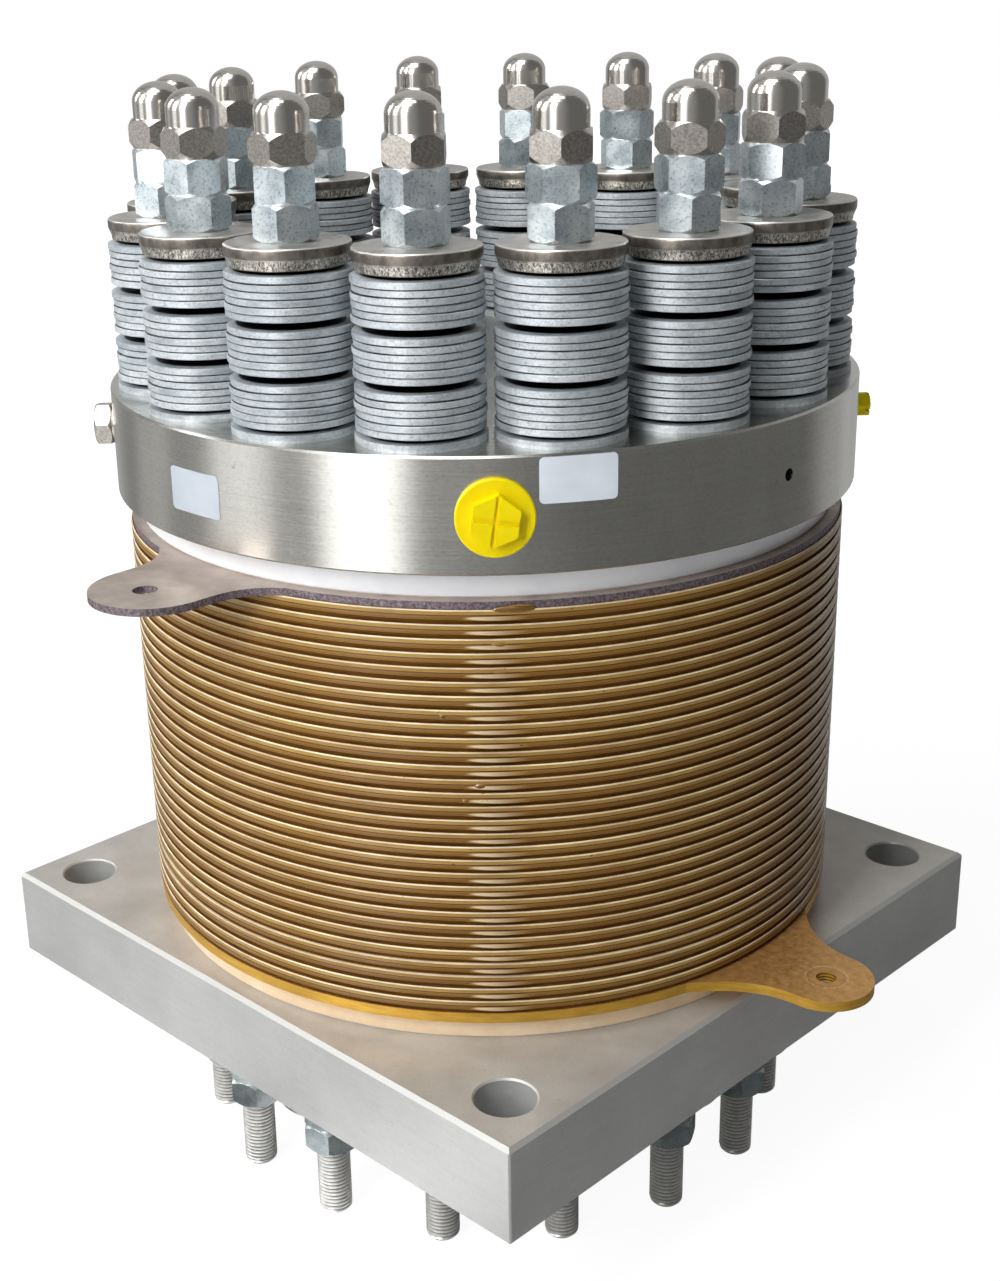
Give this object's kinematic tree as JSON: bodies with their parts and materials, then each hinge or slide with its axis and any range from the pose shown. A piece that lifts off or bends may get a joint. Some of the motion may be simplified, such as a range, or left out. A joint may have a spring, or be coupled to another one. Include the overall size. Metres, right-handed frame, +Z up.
{
  "type": "electrolyzer stack",
  "caption": "Round stack of framed cells pressed between a square base plate and a round end plate by spring-loaded tie rods, with two terminal ears.",
  "frame": {"origin": "centre of the base plate's underside, in the middle of its four corner holes", "axes": "+Z up the stack from the base plate to the end plate; +X through the positive ear; -Y through the negative ear"},
  "size_m": [0.4019, 0.402, 0.5222],
  "materials": {
    "base_aluminium": "satin",
    "cream_insulator": "satin",
    "white_insulator": "satin",
    "gilt_collector": "satin",
    "titanium": "matte",
    "stainless": "brushed",
    "amber_frame": "semi-gloss",
    "membrane": "matte",
    "carbon_layer": "matte",
    "seal_rubber": "matte",
    "sleeve_plastic": "satin",
    "rod_steel": "threaded",
    "zinc_steel": "zinc plated",
    "zinc_nut": "zinc plated",
    "raw_steel": "matte",
    "nickel_cap": "polished",
    "yellow_plastic": "satin"
  },
  "bodies": {
    "root": {"base_plate": "base_aluminium", "lower_insulator": "cream_insulator", "positive_collector": "gilt_collector", "negative_collector": "titanium", "upper_insulator": "white_insulator", "end_plate": "stainless", "separator_plates": "titanium", "anode_layers": "titanium", "membranes": "membrane", "cathode_layers": "carbon_layer", "cell_seals": "seal_rubber", "rod_sleeves": "sleeve_plastic", "tie_rods": "rod_steel", "base_thick_washers": "zinc_steel", "base_flat_washers": "zinc_steel", "base_nuts": "zinc_nut", "base_lock_nuts": "zinc_nut", "seat_washers": "zinc_steel", "disc_springs_lower": "zinc_steel", "disc_springs_middle": "zinc_steel", "disc_springs_upper": "zinc_steel", "thick_washers": "raw_steel", "top_nuts": "zinc_nut", "top_lock_nuts": "zinc_nut", "cap_nuts": "nickel_cap", "inlet_plug": "yellow_plastic", "outlet_plug": "yellow_plastic", "vent_plug": "yellow_plastic", "drain_plug": "nickel_cap", "cell_frame_01": "amber_frame", "cell_frame_02": "amber_frame", "cell_frame_03": "amber_frame", "cell_frame_04": "amber_frame", "cell_frame_05": "amber_frame", "cell_frame_06": "amber_frame", "cell_frame_07": "amber_frame", "cell_frame_08": "amber_frame", "cell_frame_09": "amber_frame", "cell_frame_10": "amber_frame", "cell_frame_11": "amber_frame", "cell_frame_12": "amber_frame", "cell_frame_13": "amber_frame", "cell_frame_14": "amber_frame", "cell_frame_15": "amber_frame", "cell_frame_16": "amber_frame", "cell_frame_17": "amber_frame", "cell_frame_18": "amber_frame", "cell_frame_19": "amber_frame", "cell_frame_20": "amber_frame", "cell_frame_21": "amber_frame", "cell_frame_22": "amber_frame", "cell_frame_23": "amber_frame", "cell_frame_24": "amber_frame", "cell_frame_25": "amber_frame", "cell_frame_26": "amber_frame", "cell_frame_27": "amber_frame", "cell_frame_28": "amber_frame", "cell_frame_29": "amber_frame", "cell_frame_30": "amber_frame"}
  },
  "joints": []
}
